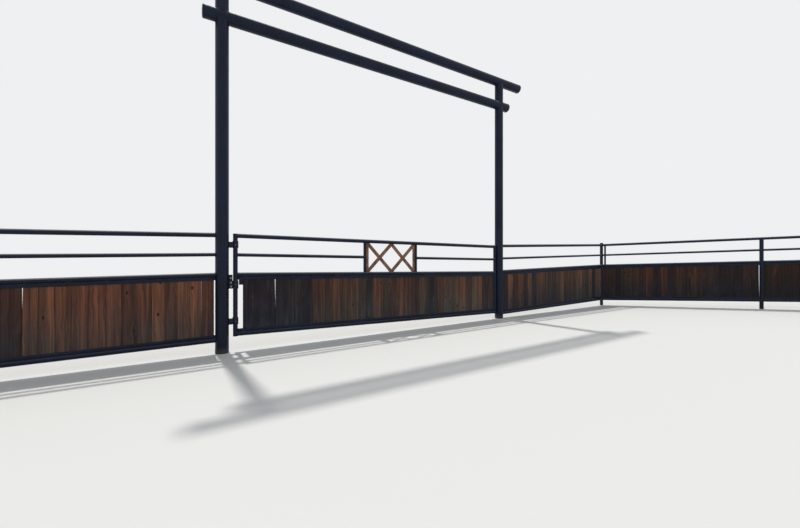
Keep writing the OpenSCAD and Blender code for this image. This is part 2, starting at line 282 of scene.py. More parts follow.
def cedar():
    material, tree, shader, coords = new_material("stained_cedar")
    tone = attribute(tree, "tone")
    shift = attribute(tree, "shift", "Vector")
    where = add(tree, "ShaderNodeSeparateXYZ", {0: attribute(tree, "where", "Vector")}).outputs
    across, up = where["X"], where["Z"]
    wood = add(tree, "ShaderNodeVectorMath", {0: coords, 1: shift}, operation="ADD").outputs[0]
    ramp = add(tree, "ShaderNodeValToRGB", {"Fac": tone})
    ramp.color_ramp.elements[0].color = (*BOARD_TONES[0][1], 1.0)
    ramp.color_ramp.elements[1].color = (*BOARD_TONES[-1][1], 1.0)
    for position, shade in BOARD_TONES[1:-1]:
        ramp.color_ramp.elements.new(position).color = (*shade, 1.0)
    warmth = attribute(tree, "warmth")
    cast = mix(tree, ease(tree, warmth, -1.0, 1.0), (0.9, 1.06, 0.98), (1.22, 0.86, 0.72))
    colour = mix(tree, 1.0, ramp.outputs[0], cast, "MULTIPLY")
    cells = add(tree, "ShaderNodeTexVoronoi",
                {"Vector": stretched(tree, wood, 7.5, 7.5, 5.0), "Scale": 1.0})
    rare = add(tree, "ShaderNodeSeparateColor", {0: cells.outputs["Color"]}).outputs[0]
    chosen = ease(tree, rare, 0.22, 0.26)
    edge = calc(tree, "MULTIPLY_ADD", noise(tree, wood, 70.0, 3.0), -0.06, cells.outputs["Distance"])
    near = times(tree, ease(tree, cells.outputs["Distance"], 0.55, 0.08), chosen)
    knot = times(tree, ease(tree, edge, 0.1, 0.06), chosen)
    sway = noise(tree, stretched(tree, wood, 5.0, 5.0, 1.1), 1.0, 2.0)
    aside = calc(tree, "MULTIPLY_ADD", near, 0.013, times(tree, sway, 0.02))
    bent = add(tree, "ShaderNodeVectorMath", {0: wood, 1: point(tree, aside)}, operation="ADD").outputs[0]
    grain = noise(tree, stretched(tree, bent, 55.0, 55.0, 1.5), 1.0, 7.0, 0.62)
    colour = tinted(tree, colour, ease(tree, grain, 0.3, 0.72), (0.52, 0.52, 0.54), (1.35, 1.26, 1.2))
    bands = noise(tree, stretched(tree, bent, 23.0, 23.0, 0.5), 1.0, 2.0)
    colour = tinted(tree, colour, ease(tree, bands, 0.34, 0.66), (0.68, 0.7, 0.76), (1.28, 1.25, 1.18))
    lines = add(tree, "ShaderNodeTexWave",
                {"Vector": stretched(tree, bent, 24.0, 24.0, 1.0), "Scale": 1.0, "Distortion": 5.5,
                 "Detail": 2.5, "Detail Scale": 0.9}, wave_profile="SAW").outputs["Fac"]
    colour = stain(tree, colour, ease(tree, lines, 0.5, 1.0), 0.4, (0.03, 0.015, 0.012))
    patch = noise(tree, stretched(tree, wood, 9.0, 9.0, 2.2), 1.0, 4.0, 0.6)
    colour = stain(tree, colour, ease(tree, patch, 0.55, 0.75), 0.4, (0.14, 0.075, 0.042))
    colour = stain(tree, colour, knot, 0.9, (0.014, 0.008, 0.007))
    sawn = noise(tree, stretched(tree, wood, 9.0, 9.0, 190.0), 1.0, 4.0, 0.65)
    colour = tinted(tree, colour, ease(tree, sawn, 0.3, 0.7), (0.94, 0.94, 0.95), (1.07, 1.06, 1.05))
    cracks = ease(tree, noise(tree, stretched(tree, bent, 95.0, 95.0, 1.3), 1.0, 2.0), 0.7, 0.76)
    colour = stain(tree, colour, cracks, 0.8, (0.009, 0.007, 0.008))
    dirty = ease(tree, noise(tree, stretched(tree, wood, 4.0, 4.0, 1.6), 1.0, 2.0), 0.4, 0.66)
    seam = times(tree, ease(tree, across, 0.86, 0.97), dirty)
    colour = stain(tree, colour, seam, 0.85, (0.009, 0.007, 0.009))
    grey = times(tree, ease(tree, noise(tree, wood, 2.3, 3.0), 0.4, 0.7), ease(tree, up, 0.9, 0.1))
    colour = stain(tree, colour, grey, 0.3, (0.062, 0.056, 0.058))
    # Bluer and duller towards the feet, warmer at the top: partly weathering, partly painted shade of the
    # open sky.
    ragged_rise = calc(tree, "MULTIPLY_ADD", patch, 0.16, up)
    colour = tinted(tree, colour, ease(tree, ragged_rise, 0.1, 0.95), (0.76, 1.0, 1.22), (1.12, 1.0, 0.92))
    # Signed per row: below 0 the feet are lighter, as dust and painted light from the ground; above 0
    # darker, as damp and painted shade.
    damp = attribute(tree, "damp")
    foot_soil_and_light_tint = mix(tree, ease(tree, damp, -1.0, 1.0), (1.52, 1.46, 1.24), (0.48, 0.54, 0.76))
    colour = mix(tree, ease(tree, ragged_rise, 1.0, 0.05), colour, mix(tree, 1.0, colour, foot_soil_and_light_tint, "MULTIPLY"))
    # Painted shade as under trees: the outer bays browner and darker.
    age = attribute(tree, "age")
    colour = mix(tree, age, colour, mix(tree, 1.0, colour, (0.66, 0.62, 0.46), "MULTIPLY"))
    shader.inputs["Specular IOR Level"].default_value = 0.22
    relief = calc(tree, "MULTIPLY_ADD", lines, -0.35, calc(tree, "MULTIPLY_ADD", knot, -0.5, grain))
    relief = calc(tree, "MULTIPLY_ADD", sawn, 0.22, calc(tree, "MULTIPLY_ADD", cracks, -1.0, relief))
    connect(tree, shader, colour, calc(tree, "MULTIPLY_ADD", grain, 0.2, 0.66), relief, 0.0012)
    return material


CEDAR = cedar()
print("cedar:", len(CEDAR.node_tree.nodes), "nodes")

# %% [markdown]
# The ornament is bare plate that has been left to rust. Old rust is dark and brown, fresh
# rust is orange, and both lie in blotches with a pitted surface. The screws are zinc with
# a dull bloom.


# %% Rust and zinc
def rust():
    material, tree, shader, coords = new_material("rusted_plate")
    blotch = noise(tree, coords, 9.0, 6.0, 0.65)
    pits = noise(tree, coords, 85.0, 8.0, 0.7)
    colour = mix(tree, ease(tree, blotch, 0.35, 0.62), (0.1, 0.05, 0.034), (0.25, 0.125, 0.07))
    colour = mix(tree, ease(tree, pits, 0.5, 0.72), colour, (0.36, 0.185, 0.09))
    runs = noise(tree, stretched(tree, coords, 45.0, 45.0, 3.0), 1.0, 3.0)
    colour = stain(tree, colour, ease(tree, runs, 0.55, 0.75), 0.6, (0.07, 0.034, 0.024))
    shader.inputs["Metallic"].default_value = 0.15
    connect(tree, shader, colour, calc(tree, "MULTIPLY_ADD", pits, 0.25, 0.65),
            calc(tree, "ADD", pits, blotch), 0.0012)
    return material


def zinc():
    material, tree, shader, coords = new_material("screw_zinc")
    bloom = noise(tree, coords, 90.0, 5.0)
    colour = mix(tree, ease(tree, bloom, 0.35, 0.7), (0.34, 0.34, 0.35), (0.16, 0.13, 0.11))
    shader.inputs["Metallic"].default_value = 0.85
    connect(tree, shader, colour, calc(tree, "MULTIPLY_ADD", bloom, 0.3, 0.3), bloom, 0.0002)
    return material


RUST = rust()
ZINC = zinc()

# %% [markdown]
# The posts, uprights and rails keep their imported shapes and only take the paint. Slabs
# and sharp-edged pieces take it too, until something finer replaces them further down.

# %% Paint the steel
for name, piece in nodes.items():
    finish = RUST if name == "gate_ornament" else CEDAR if name.endswith("boards") else PAINT
    for slot in piece.material_slots:
        slot.material = finish
print("painted", len(nodes), "nodes")

# %% [markdown]
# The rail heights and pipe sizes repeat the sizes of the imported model, in metres. A
# panel's place is read from the corners of its packed slab: its two ends, its height and
# the rake of its edges. So the boards follow their panel wherever it stands.

# %% Sizes
POST_R, RAIL_R, SLIM_R, STILE_R, FENCE_R = 0.08415, 0.03015, 0.02415, 0.0211, 0.0365
TOP_Z, SECOND_Z, THIRD_Z = 1.590, 1.328, 1.055
GATE_BOTTOM_Z, WING_BOTTOM_Z = 0.241, 0.180
LOWER_BEAM_Z, UPPER_BEAM_Z = 4.540, 5.030
CHANNEL_T, CHANNEL_H, CHANNEL_W = 0.006, 0.040, 0.034
STILE_X = FENCE_R + 0.046
UP, X_AXIS = Vector((0, 0, 1)), Vector((1, 0, 0))


class Panel:
    """A panel of boards between two posts, given by its node and its posts' feet."""

    def __init__(self, node, near, far):
        corners = [v.co.copy() for v in nodes[node].data.vertices]
        self.node = node
        self.body = "gate" if node.startswith("gate") else "entrance"
        self.near, self.far = near.xy, far.xy
        self.along = (self.far - self.near).normalized()
        reach = [(c.xy - self.near).dot(self.along) for c in corners]
        self.first, self.last = min(reach), max(reach)
        half = (self.first + self.last) / 2
        low = [min(c.z for c, r in zip(corners, reach) if (r < half) == side) for side in (True, False)]
        self.slope = (low[1] - low[0]) / (self.last - self.first)
        self.bottom = low[0] - self.slope * self.first
        self.height = max(c.z for c, r in zip(corners, reach) if r < half) - low[0]
        self.length = (self.far - self.near).length
        back = Vector((-self.along.y, self.along.x))
        self.back = back if back.y > 0 else -back

    def lay(self, mesh, x, y, z, turn=Matrix()):
        """Puts a mesh at x along the panel, y to its back and z above its bottom edge there."""
        along, back = self.along, self.back
        place = Matrix(((along.x, back.x, 0, self.near.x), (along.y, back.y, 0, self.near.y),
                        (0, 0, 1, self.bottom), (0, 0, 0, 1)))
        mesh.transform(place @ Matrix.Translation((x, y, z + self.slope * x)) @ turn)
        if place.determinant() < 0:
            mesh.flip_normals()
        return mesh


GATE = Panel("gate_boards", feet["left_post_foot"], feet["right_post_foot"])
WINGS = {}
for side in ("left", "right"):
    stand = [feet[f"{side}{post}_post_foot"] for post in ("", "_corner", "_line", "_end")]
    for bay in (1, 2, 3):
        WINGS[side, bay] = Panel(f"{side}_bay_{bay}_boards", stand[bay - 1], stand[bay])
for panel in (GATE, *WINGS.values()):
    print(panel.node, "from, to, rake:", [round(n, 4) for n in (panel.first, panel.last, panel.slope)])

# %% [markdown]
# A tree needs named inputs, and each use of it sets them on the modifier by the socket's
# identifier. The result is turned into a plain mesh, and the modifier's object goes.


# %% Running a tree
def new_tree(name, **sockets):
    """A Geometry Nodes tree with these inputs, each given as its name and its kind."""
    tree = bpy.data.node_groups.new(name, "GeometryNodeTree")
    for socket, kind in sockets.items():
        tree.interface.new_socket(socket, in_out="INPUT", socket_type="NodeSocket" + kind)
    return tree, add(tree, "NodeGroupInput").outputs


def chance(tree, low, high, seed, vector=False):
    """A random number for each point, or a random vector."""
    a, b, result = (0, 1, 0) if vector else (2, 3, 1)
    return add(tree, "FunctionNodeRandomValue", {a: low, b: high, "Seed": seed},
               data_type="FLOAT_VECTOR" if vector else "FLOAT").outputs[result]


def shape_of(tree, thing):
    return add(tree, "GeometryNodeObjectInfo", {"Object": thing}).outputs["Geometry"]


def copies(tree, spots, thing, **settings):
    """An object given as an input, once at each of these points."""
    inputs = {"Points": spots, "Instance": shape_of(tree, thing), **settings}
    return add(tree, "GeometryNodeInstanceOnPoints", inputs).outputs[0]


def close_tree(tree, geometry, material):
    """Ends a tree: real geometry in place of instances, and its material."""
    tree.interface.new_socket("Geometry", in_out="OUTPUT", socket_type="NodeSocketGeometry")
    real = add(tree, "GeometryNodeRealizeInstances", {0: geometry})
    coated = add(tree, "GeometryNodeSetMaterial", {"Geometry": real.outputs[0], "Material": material})
    add(tree, "NodeGroupOutput", {0: coated.outputs[0]})


def run_tree(tree, **values):
    """Evaluates a tree with these inputs and returns a plain mesh."""
    carrier = linked("carrier", bpy.data.meshes.new("carrier"))
    modifier = carrier.modifiers.new("tree", "NODES")
    modifier.node_group = tree
    for item in tree.interface.items_tree:
        if item.in_out == "INPUT":
            modifier[item.identifier] = values[item.name]
    graph = bpy.context.evaluated_depsgraph_get()
    mesh = bpy.data.meshes.new_from_object(carrier.evaluated_get(graph))
    bpy.data.objects.remove(carrier)
    return mesh


def piece_from(name, meshes, body, replaced=(), smooth=None):
    """One finished piece from several placed meshes."""
    parts = [linked(name, mesh) for mesh in meshes]
    if len(parts) > 1:
        with bpy.context.temp_override(active_object=parts[0], object=parts[0], selected_objects=parts,
                                       selected_editable_objects=parts):
            bpy.ops.object.join()
    piece = parts[0]
    if smooth is not None:
        piece.data.shade_smooth()
        piece.data.set_sharp_from_angle(angle=math.radians(smooth))
    if replaced:
        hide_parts(*replaced)
    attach(piece, body)
    triangles = sum(len(face.vertices) - 2 for face in piece.data.polygons)
    print(piece.name, triangles, "triangles")


# %% [markdown]
# One board blank is made from listed points: a plank with broken edges and rings of points along
# it, so that it can bow. The rest is a rule with a few numbers, so a tree lays the row.
# Real boards differ in width, so each gets a random share of the row, and the running
# total of the shares gives its place. The screws at the back use the same shares. A row
# can have a dark end: its boards nearest a gate post are painted nearly black, as painted
# shade of the post.

# %% Shares of a row
shares_tree, given = new_tree("board_shares", Length="Float", Seed="Int")
shares_tree.interface.new_socket("Middle", in_out="OUTPUT", socket_type="NodeSocketFloat")
shares_tree.interface.new_socket("Width", in_out="OUTPUT", socket_type="NodeSocketFloat")
share = chance(shares_tree, 0.86, 1.14, given["Seed"])
running = add(shares_tree, "GeometryNodeAccumulateField", {0: share}, data_type="FLOAT").outputs
unit = calc(shares_tree, "DIVIDE", given["Length"], running["Total"])
middle = calc(shares_tree, "MULTIPLY_ADD", share, 0.5, running["Trailing"])
add(shares_tree, "NodeGroupOutput", {0: times(shares_tree, middle, unit),
                                     1: times(shares_tree, share, unit)})


def stations(tree, given, aside=0.0):
    """Points at the boards' middles, moved aside and up the rake, and the boards' widths."""
    line = add(tree, "GeometryNodeMeshLine", {"Count": given["Count"]}).outputs["Mesh"]
    share = add(tree, "GeometryNodeGroup", {"Length": given["Length"], "Seed": given["Seed"]},
                node_tree=shares_tree).outputs
    x = calc(tree, "ADD", share["Middle"], aside)
    place = point(tree, x, 0.0, times(tree, x, given["Rake"]))
    spots = add(tree, "GeometryNodeSetPosition", {"Geometry": line, "Position": place}).outputs[0]
    return spots, share["Width"]


# %% The board blank
BOARD_THICK = 0.019
BOARD_WIDTH = 0.1435
BOARD_SPACE = -0.0003
EDGE_BREAK = 0.0022


def board_blank(height):
    """A plank on z = 0. Its "where" runs from 0 at the middle to 1 at the edges, and up from 0 to 1."""
    half_w, half_t, c = BOARD_WIDTH / 2, BOARD_THICK / 2, EDGE_BREAK
    ring = [(half_w - c, half_t), (half_w, half_t - c), (half_w, c - half_t), (half_w - c, -half_t),
            (0.0, -half_t), (c - half_w, -half_t), (-half_w, c - half_t), (-half_w, half_t - c),
            (c - half_w, half_t), (0.0, half_t)]
    sides, levels = len(ring), 9
    verts = [(x, y, height * k / (levels - 1)) for k in range(levels) for x, y in ring]
    faces = [list(range(sides)), [sides * (levels - 1) + i for i in reversed(range(sides))]]
    for k in range(levels - 1):
        for i in range(sides):
            j = (i + 1) % sides
            faces.append([sides * k + i, sides * (k + 1) + i, sides * (k + 1) + j, sides * k + j])
    mesh = bpy.data.meshes.new("board_blank")
    mesh.from_pydata(verts, [], faces)
    where = [number for x, _, z in verts for number in (abs(x) / half_w, 0.0, z / height)]
    mesh.attributes.new("where", "FLOAT_VECTOR", "POINT").data.foreach_set("vector", where)
    return bpy.data.objects.new("board_blank", mesh)


# %% The row of boards
BOARD_TURN = 0.01
DARKEST_PART = 0.3
WARMTH_SPREAD = 0.7
GRAIN_SHIFT = 9.0
row_tree, given = new_tree(
    "row_of_boards", Board="Object", Count="Int", Length="Float", Rake="Float", Lean="Float",
    Dark="Float", Light="Float", DarkEnd="Float", Warmth="Float", Damp="Float", Age="Float",
    Seed="Int", StainSeed="Int", Material="Material")
spots, width = stations(row_tree, given)
low = point(row_tree, 0.0, times(row_tree, given["Lean"], -1.0), -BOARD_TURN)
turn = chance(row_tree, low, point(row_tree, 0.0, given["Lean"], BOARD_TURN), given["Seed"], vector=True)
net = calc(row_tree, "SUBTRACT", width, BOARD_SPACE)
size = point(row_tree, calc(row_tree, "DIVIDE", net, BOARD_WIDTH), 1.0, 1.0)
row = copies(row_tree, spots, given["Board"], Rotation=turn, Scale=size)
tone = chance(row_tree, given["Dark"], given["Light"], given["StainSeed"])
along = add(row_tree, "ShaderNodeSeparateXYZ",
            {0: add(row_tree, "GeometryNodeInputPosition").outputs[0]}).outputs["X"]
# Painted shade of the post: the tone falls to the darkest, bluish end of the ramp towards the row's start.
darkest = times(row_tree, given["DarkEnd"], DARKEST_PART)
tone = times(row_tree, tone, ease(row_tree, along, darkest, given["DarkEnd"]))
warmth = chance(row_tree, calc(row_tree, "ADD", given["Warmth"], -WARMTH_SPREAD),
                calc(row_tree, "ADD", given["Warmth"], WARMTH_SPREAD), given["Seed"])
shift = chance(row_tree, (-GRAIN_SHIFT,) * 3, (GRAIN_SHIFT,) * 3, given["Seed"], vector=True)
for name, kind, value in (("tone", "FLOAT", tone), ("warmth", "FLOAT", warmth),
                          ("damp", "FLOAT", given["Damp"]), ("age", "FLOAT", given["Age"]),
                          ("shift", "FLOAT_VECTOR", shift)):
    row = add(row_tree, "GeometryNodeStoreNamedAttribute", {"Geometry": row, "Name": name, "Value": value},
              data_type=kind, domain="INSTANCE").outputs[0]
close_tree(row_tree, row, given["Material"])
print("row tree:", len(row_tree.nodes), "nodes")

# %% [markdown]
# The photo shows light between the boards in a few places. There a board has dried and
# pulled away from its neighbour, more at one end than at the other. So such a board is
# narrowed one by one, with a gap that changes over its height. All other boards are driven
# tight, their broken edges against each other.

# %% Lay the boards
# node: seeds of the widths and of the stain, darkest and lightest tone (the low lightest
# tones of the outer right bays are painted shade of trees), length of the dark end (painted
# shade of the post), warmth, the feet's dust (below 0) and damp (above 0) with their painted
# light and shade, the painted shade of trees on the outer bays, and the open gaps as (place
# along the panel, width at the foot, at the middle and at the top)
ROWS = {
    "gate_boards": (2275, 6703, 0.0, 0.8, 1.15, -0.15, -0.5, 0.0, [(0.70, 0.0, 0.004, 0.011)]),
    "left_bay_1_boards": (3332, 9804, 0.18, 1.08, 0.01, 0.9, 0.0, 0.0,
                          [(0.24, 0.0, 0.0012, 0.002), (1.92, 0.0, 0.002, 0.010)]),
    "left_bay_2_boards": (12, 19, 0.1, 1.0, 0.01, 0.4, 0.1, 0.3, []),
    "left_bay_3_boards": (13, 20, 0.1, 1.0, 0.01, 0.2, 0.3, 0.5, []),
    "right_bay_1_boards": (0, 995, 0.0, 0.9, 0.01, -0.2, 0.4, 0.0, []),
    # The low lightest tones of the two outer right bays are painted shade of trees.
    "right_bay_2_boards": (165, 377, 0.0, 0.55, 0.01, 0.45, 0.5, 0.55, [(3.145, -0.013, -0.006, -0.004)]),
    "right_bay_3_boards": (23, 32, 0.0, 0.2, 0.01, 0.5, 0.4, 1.0, []),
}
POINTS_PER_BOARD = 90


def open_gap(mesh, x, widths):
    """Narrows the board that ends nearest to x, to leave a gap of these widths beside it."""
    where = mesh.attributes["where"].data
    boards = [mesh.vertices[k:k + POINTS_PER_BOARD] for k in range(0, len(mesh.vertices), POINTS_PER_BOARD)]
    chosen = min(boards, key=lambda board: abs(max(v.co.x for v in board) - x))
    left, right = min(v.co.x for v in chosen), max(v.co.x for v in chosen)
    foot, half, top = widths
    for v in chosen:
        t = where[v.index].vector.z
        gap = foot + (half - foot) * 2 * t if t < 0.5 else half + (top - half) * (2 * t - 1)
        v.co.x -= gap * (v.co.x - left) / (right - left)


END_REACH = 0.0008
END_PLAY = 0.001
LEAN = 0.0005
total = 0
for panel in (GATE, *WINGS.values()):
    seed, stain_seed, dark, light, post_shade_end, warmth, damp, age, gaps = ROWS[panel.node]
    start = panel.first - END_REACH
    length = panel.last - panel.first + 2 * END_REACH
    count = round(length / BOARD_WIDTH)
    board = board_blank(panel.height - 2 * END_PLAY)
    mesh = run_tree(row_tree, Board=board, Count=count, Length=length, Rake=panel.slope, Lean=LEAN,
                    Dark=dark, Light=light, DarkEnd=post_shade_end, Warmth=warmth, Damp=damp, Age=age,
                    Seed=seed, StainSeed=stain_seed, Material=CEDAR)
    bpy.data.objects.remove(board)
    for x, *widths in gaps:
        open_gap(mesh, x - start, widths)
    piece_from(panel.node.replace("boards", "board_row"), [panel.lay(mesh, start, 0.0, END_PLAY)],
               panel.body, [panel.node])
    total += count
print("laid", total, "boards")

# %% [markdown]
# A pipe that meets another pipe is cut to a saddle. Its outline follows from the two
# cylinders: each line along the small pipe is followed until it reaches the surface of
# the big one. The outline serves twice, as the end of a pipe and as the path of its weld.


# %% Saddles
def reach_of(start, along, post):
    """How far a line from start runs inside a post, given as (centre, axis, radius)."""
    centre, axis, radius = post
    gap = start - centre
    gap = gap - axis * gap.dot(axis)
    flat = along - axis * along.dot(axis)
    a, b, c = flat.dot(flat), gap.dot(flat), gap.dot(gap) - radius ** 2
    return (math.sqrt(max(b * b - a * c, 0.0)) - b) / a


def saddle(start, along, radius, post, sides=48):
    """The closed outline where a pipe from start along a direction leaves a post."""
    u = along.cross(UP if abs(along.z) < 0.7 else X_AXIS).normalized()
    v = along.cross(u)
    outline = []
    for k in range(sides):
        turn = 2 * math.pi * k / sides
        p = start + radius * (math.cos(turn) * u + math.sin(turn) * v)
        outline.append(p + along * reach_of(p, along, post) if post else p)
    return outline


def pipe_mesh(start, end, radius, post_a, post_b, sides=64):
    """A pipe between two posts, its ends cut to saddles and closed inside them."""
    along = (end - start).normalized()
    a = saddle(start, along, radius, post_a, sides)
    b = saddle(end, -along, radius, post_b, sides)
    b = [min(b, key=lambda p, q=q: ((p - q) - along * (p - q).dot(along)).length) for q in a]
    hub_a = start + along * (post_a[2] if post_a else 0.0)
    hub_b = end - along * (post_b[2] if post_b else 0.0)
    mesh = bpy.data.meshes.new("pipe")
    faces = [(k, (k + 1) % sides, sides + (k + 1) % sides, sides + k) for k in range(sides)]
    faces += [((k + 1) % sides, k, 2 * sides) for k in range(sides)]
    faces += [(sides + k, sides + (k + 1) % sides, 2 * sides + 1) for k in range(sides)]
    mesh.from_pydata([*a, *b, hub_a, hub_b], [], faces)
    body = bmesh.new()
    body.from_mesh(mesh)
    bmesh.ops.recalc_face_normals(body, faces=body.faces)
    body.to_mesh(mesh)
    body.free()
    mesh.materials.append(PAINT)
    return mesh


# %% [markdown]
# Where the two pipes are equally thick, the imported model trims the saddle's thin tips.
# Those pipes get full saddles here: the lower beam, its two ends and three gate rails.

# %% Pipes with full saddles
def ends(node):
    """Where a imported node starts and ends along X."""
    low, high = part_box(node)
    return low.x, high.x


HINGE_X, LATCH_X = sum(ends("gate_hinge_upright")) / 2, sum(ends("gate_latch_upright")) / 2
LEFT_X, RIGHT_X = feet["left_post_foot"].x, feet["right_post_foot"].x


def upright(x, radius):
    return Vector((x, 0.0, 0.0)), UP, radius


left_post, right_post = upright(LEFT_X, POST_R), upright(RIGHT_X, POST_R)
beam_start, beam_end = Vector((LEFT_X, 0, LOWER_BEAM_Z)), Vector((RIGHT_X, 0, LOWER_BEAM_Z))
piece_from("lower_beam_pipe", [pipe_mesh(beam_start, beam_end, POST_R, left_post, right_post)],
           "entrance", ["lower_beam"], smooth=35)
stubs = [pipe_mesh(start, Vector((x, 0, LOWER_BEAM_Z)), POST_R, post, None) for start, x, post in
         zip((beam_start, beam_end), ends("lower_beam_stubs"), (left_post, right_post))]
piece_from("lower_beam_ends", stubs, "entrance", ["lower_beam_stubs"], smooth=35)
GATE_RAILS = {"gate_top_rail": TOP_Z, "gate_third_rail": THIRD_Z, "gate_bottom_rail": GATE_BOTTOM_Z}
for node, z in GATE_RAILS.items():
    rail = pipe_mesh(Vector((HINGE_X, 0, z)), Vector((LATCH_X, 0, z)), RAIL_R,
                     upright(HINGE_X, RAIL_R), upright(LATCH_X, RAIL_R))
    piece_from(node + "_pipe", [rail], "gate", [node], smooth=35)

# %% [markdown]
# A weld bead is a row of overlapping ripples. The tree sweeps a small ring along a path
# and lets its size pulse with the distance run. The paths are the saddles, the rims of
# the end caps and the roots of the hinge arms. A bead on an outermost end is ground flush
# with it, so that the gate keeps its measured size.

# %% The weld tree
weld_tree, given = new_tree("weld_bead", Path="Object", Step="Float", Material="Material")
sampled = add(weld_tree, "GeometryNodeResampleCurve",
              {"Curve": shape_of(weld_tree, given["Path"]), "Length": given["Step"]},
              mode="LENGTH").outputs[0]
bead = add(weld_tree, "GeometryNodeInputRadius").outputs[0]
run = add(weld_tree, "GeometryNodeSplineParameter").outputs["Length"]
wave = calc(weld_tree, "SINE", calc(weld_tree, "DIVIDE", run, times(weld_tree, bead, 0.22)))
rough_run = noise(weld_tree, add(weld_tree, "GeometryNodeInputPosition").outputs[0], 60.0, 2.0)
pulse = calc(weld_tree, "ADD", calc(weld_tree, "MULTIPLY_ADD", wave, 0.12, 0.65),
             times(weld_tree, rough_run, 0.5))
ring = add(weld_tree, "GeometryNodeCurvePrimitiveCircle", {"Resolution": 7, "Radius": 1.0}).outputs[0]
sweep = add(weld_tree, "GeometryNodeCurveToMesh",
            {"Curve": sampled, "Profile Curve": ring, "Scale": times(weld_tree, bead, pulse),
             "Fill Caps": True}).outputs[0]
soft = add(weld_tree, "GeometryNodeSetShadeSmooth", {"Geometry": sweep}).outputs[0]
close_tree(weld_tree, soft, given["Material"])


def beads(name, paths, step=0.003):
    """Beads along paths, each given as (its size at each point, closed or not, its points)."""
    curve = bpy.data.curves.new(name, "CURVE")
    curve.dimensions = "3D"
    for sizes, closed, points in paths:
        spline = curve.splines.new("POLY")
        spline.points.add(len(points) - 1)
        for target, size, spot in zip(spline.points, sizes, points):
            target.co = (*spot, 1.0)
            target.radius = size
        spline.use_cyclic_u = closed
    holder = linked(name + "_path", curve)
    mesh = run_tree(weld_tree, Path=holder, Step=step, Material=WELD_PAINT)
    bpy.data.objects.remove(holder)
    return mesh


def weld(name, body, paths):
    """A piece of welds, each path given as (bead size, closed or not, its points)."""
    mesh = beads(name, [([size] * len(points), closed, points) for size, closed, points in paths])
    low, high = cad_box
    for v in mesh.vertices:
        v.co = [min(max(c, least), most) for c, least, most in zip(v.co, low, high)]
    piece_from(name, [mesh], body)


# %% Welds of the tall frame
def circle(centre, axis, radius):
    return saddle(centre, axis, radius, None)


BEAM_BEAD, CAP_BEAD, ARM_BEAD, RAIL_BEAD = 0.0058, 0.0042, 0.0045, 0.004
SLIM_BEAD, STILE_BEAD, TACK_BEAD, PLUG_BEAD, RING_BEAD = 0.0038, 0.0034, 0.003, 0.0028, 0.0025
ARM_HEIGHTS = {"lower_hinge": 0.080, "middle_hinge": 0.110, "upper_hinge": 0.080}
ARM_Y, GUSSET_Y = 0.022, 0.009
CAP_EDGE, PLUG_EDGE = 0.001, 0.0005
frame_paths = []
for centre, post in ((beam_start, left_post), (beam_end, right_post)):
    for heading in (X_AXIS, -X_AXIS):
        frame_paths.append((BEAM_BEAD, True, saddle(centre, heading, POST_R, post, 96)))
    seat = Vector((centre.x, 0, UPPER_BEAM_Z))
    frame_paths.append((BEAM_BEAD, True, saddle(seat, -UP, POST_R, (seat, X_AXIS, POST_R), 96)))
for node, z in (("lower_beam_stubs", LOWER_BEAM_Z), ("upper_beam", UPPER_BEAM_Z)):
    for x in ends(node):
        frame_paths.append((CAP_BEAD, True, circle(Vector((x, 0, z)), X_AXIS, POST_R - CAP_EDGE)))


def on_post(y, z):
    """The point of the left post's right-hand face at this y and height."""
    return Vector((math.sqrt(POST_R ** 2 - y * y), y, z))


for hinge, arm_height in ARM_HEIGHTS.items():
    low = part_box(hinge)[0].z
    rim = [(-ARM_Y, low), (ARM_Y, low), (ARM_Y, low + arm_height), (-ARM_Y, low + arm_height)]
    frame_paths.append((ARM_BEAD, True, [on_post(y, z) for y, z in rim]))
arm_foot, plate_top = (corner.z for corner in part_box("middle_hinge"))
arm_top = arm_foot + ARM_HEIGHTS["middle_hinge"]
for y in (-GUSSET_Y, GUSSET_Y):
    heights = (arm_top, (arm_top + plate_top) / 2, plate_top - 0.012)
    frame_paths.append((RAIL_BEAD, False, [on_post(y, z) for z in heights]))
weld("frame_welds", "entrance", frame_paths)

# %% Welds of the gate
RING_SEATS = (0.471, 1.518)
GATE_PLUG_DEPTH, POST_PLUG_DEPTH = 0.007, 0.012
TACKS, TACK_HALF, TACK_INSET, TACK_Y = 4, 0.016, 0.06, -0.004
gate_paths = []
for z, radius in ((TOP_Z, RAIL_R), (THIRD_Z, RAIL_R), (GATE_BOTTOM_Z, RAIL_R), (SECOND_Z, SLIM_R)):
    for x, heading in ((HINGE_X, X_AXIS), (LATCH_X, -X_AXIS)):
        gate_paths.append((RAIL_BEAD, True, saddle(Vector((x, 0, z)), heading, radius, upright(x, RAIL_R))))
left_end, right_end = ends("gate_panel_uprights")
for x, heading in ((left_end + SLIM_R, -X_AXIS), (right_end - SLIM_R, X_AXIS)):
    outline = saddle(Vector((x, 0, SECOND_Z)), heading, SLIM_R, upright(x, SLIM_R))
    gate_paths.append((SLIM_BEAD, True, outline))
    for z, rise in ((THIRD_Z, UP), (TOP_Z, -UP)):
        rail = (Vector((x, 0, z)), X_AXIS, RAIL_R)
        gate_paths.append((SLIM_BEAD, True, saddle(rail[0], rise, SLIM_R, rail)))
for node, x in (("gate_hinge_upright", HINGE_X), ("gate_latch_upright", LATCH_X)):
    plug = Vector((x, 0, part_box(node)[1].z - GATE_PLUG_DEPTH))
    gate_paths.append((PLUG_BEAD, True, circle(plug, UP, RAIL_R - PLUG_EDGE)))
for z in RING_SEATS:
    gate_paths.append((RING_BEAD, True, circle(Vector((HINGE_X, 0, z)), UP, RAIL_R + CAP_EDGE)))
low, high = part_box("gate_ornament")
for x in (low.x, high.x):
    for k in range(TACKS):
        z = low.z + TACK_INSET + k * (high.z - low.z - 2 * TACK_INSET) / (TACKS - 1)
        tack = [Vector((x, TACK_Y, z + TACK_HALF * part)) for part in (-1, 0, 1)]
        gate_paths.append((TACK_BEAD, False, tack))
weld("gate_welds", "gate", gate_paths)

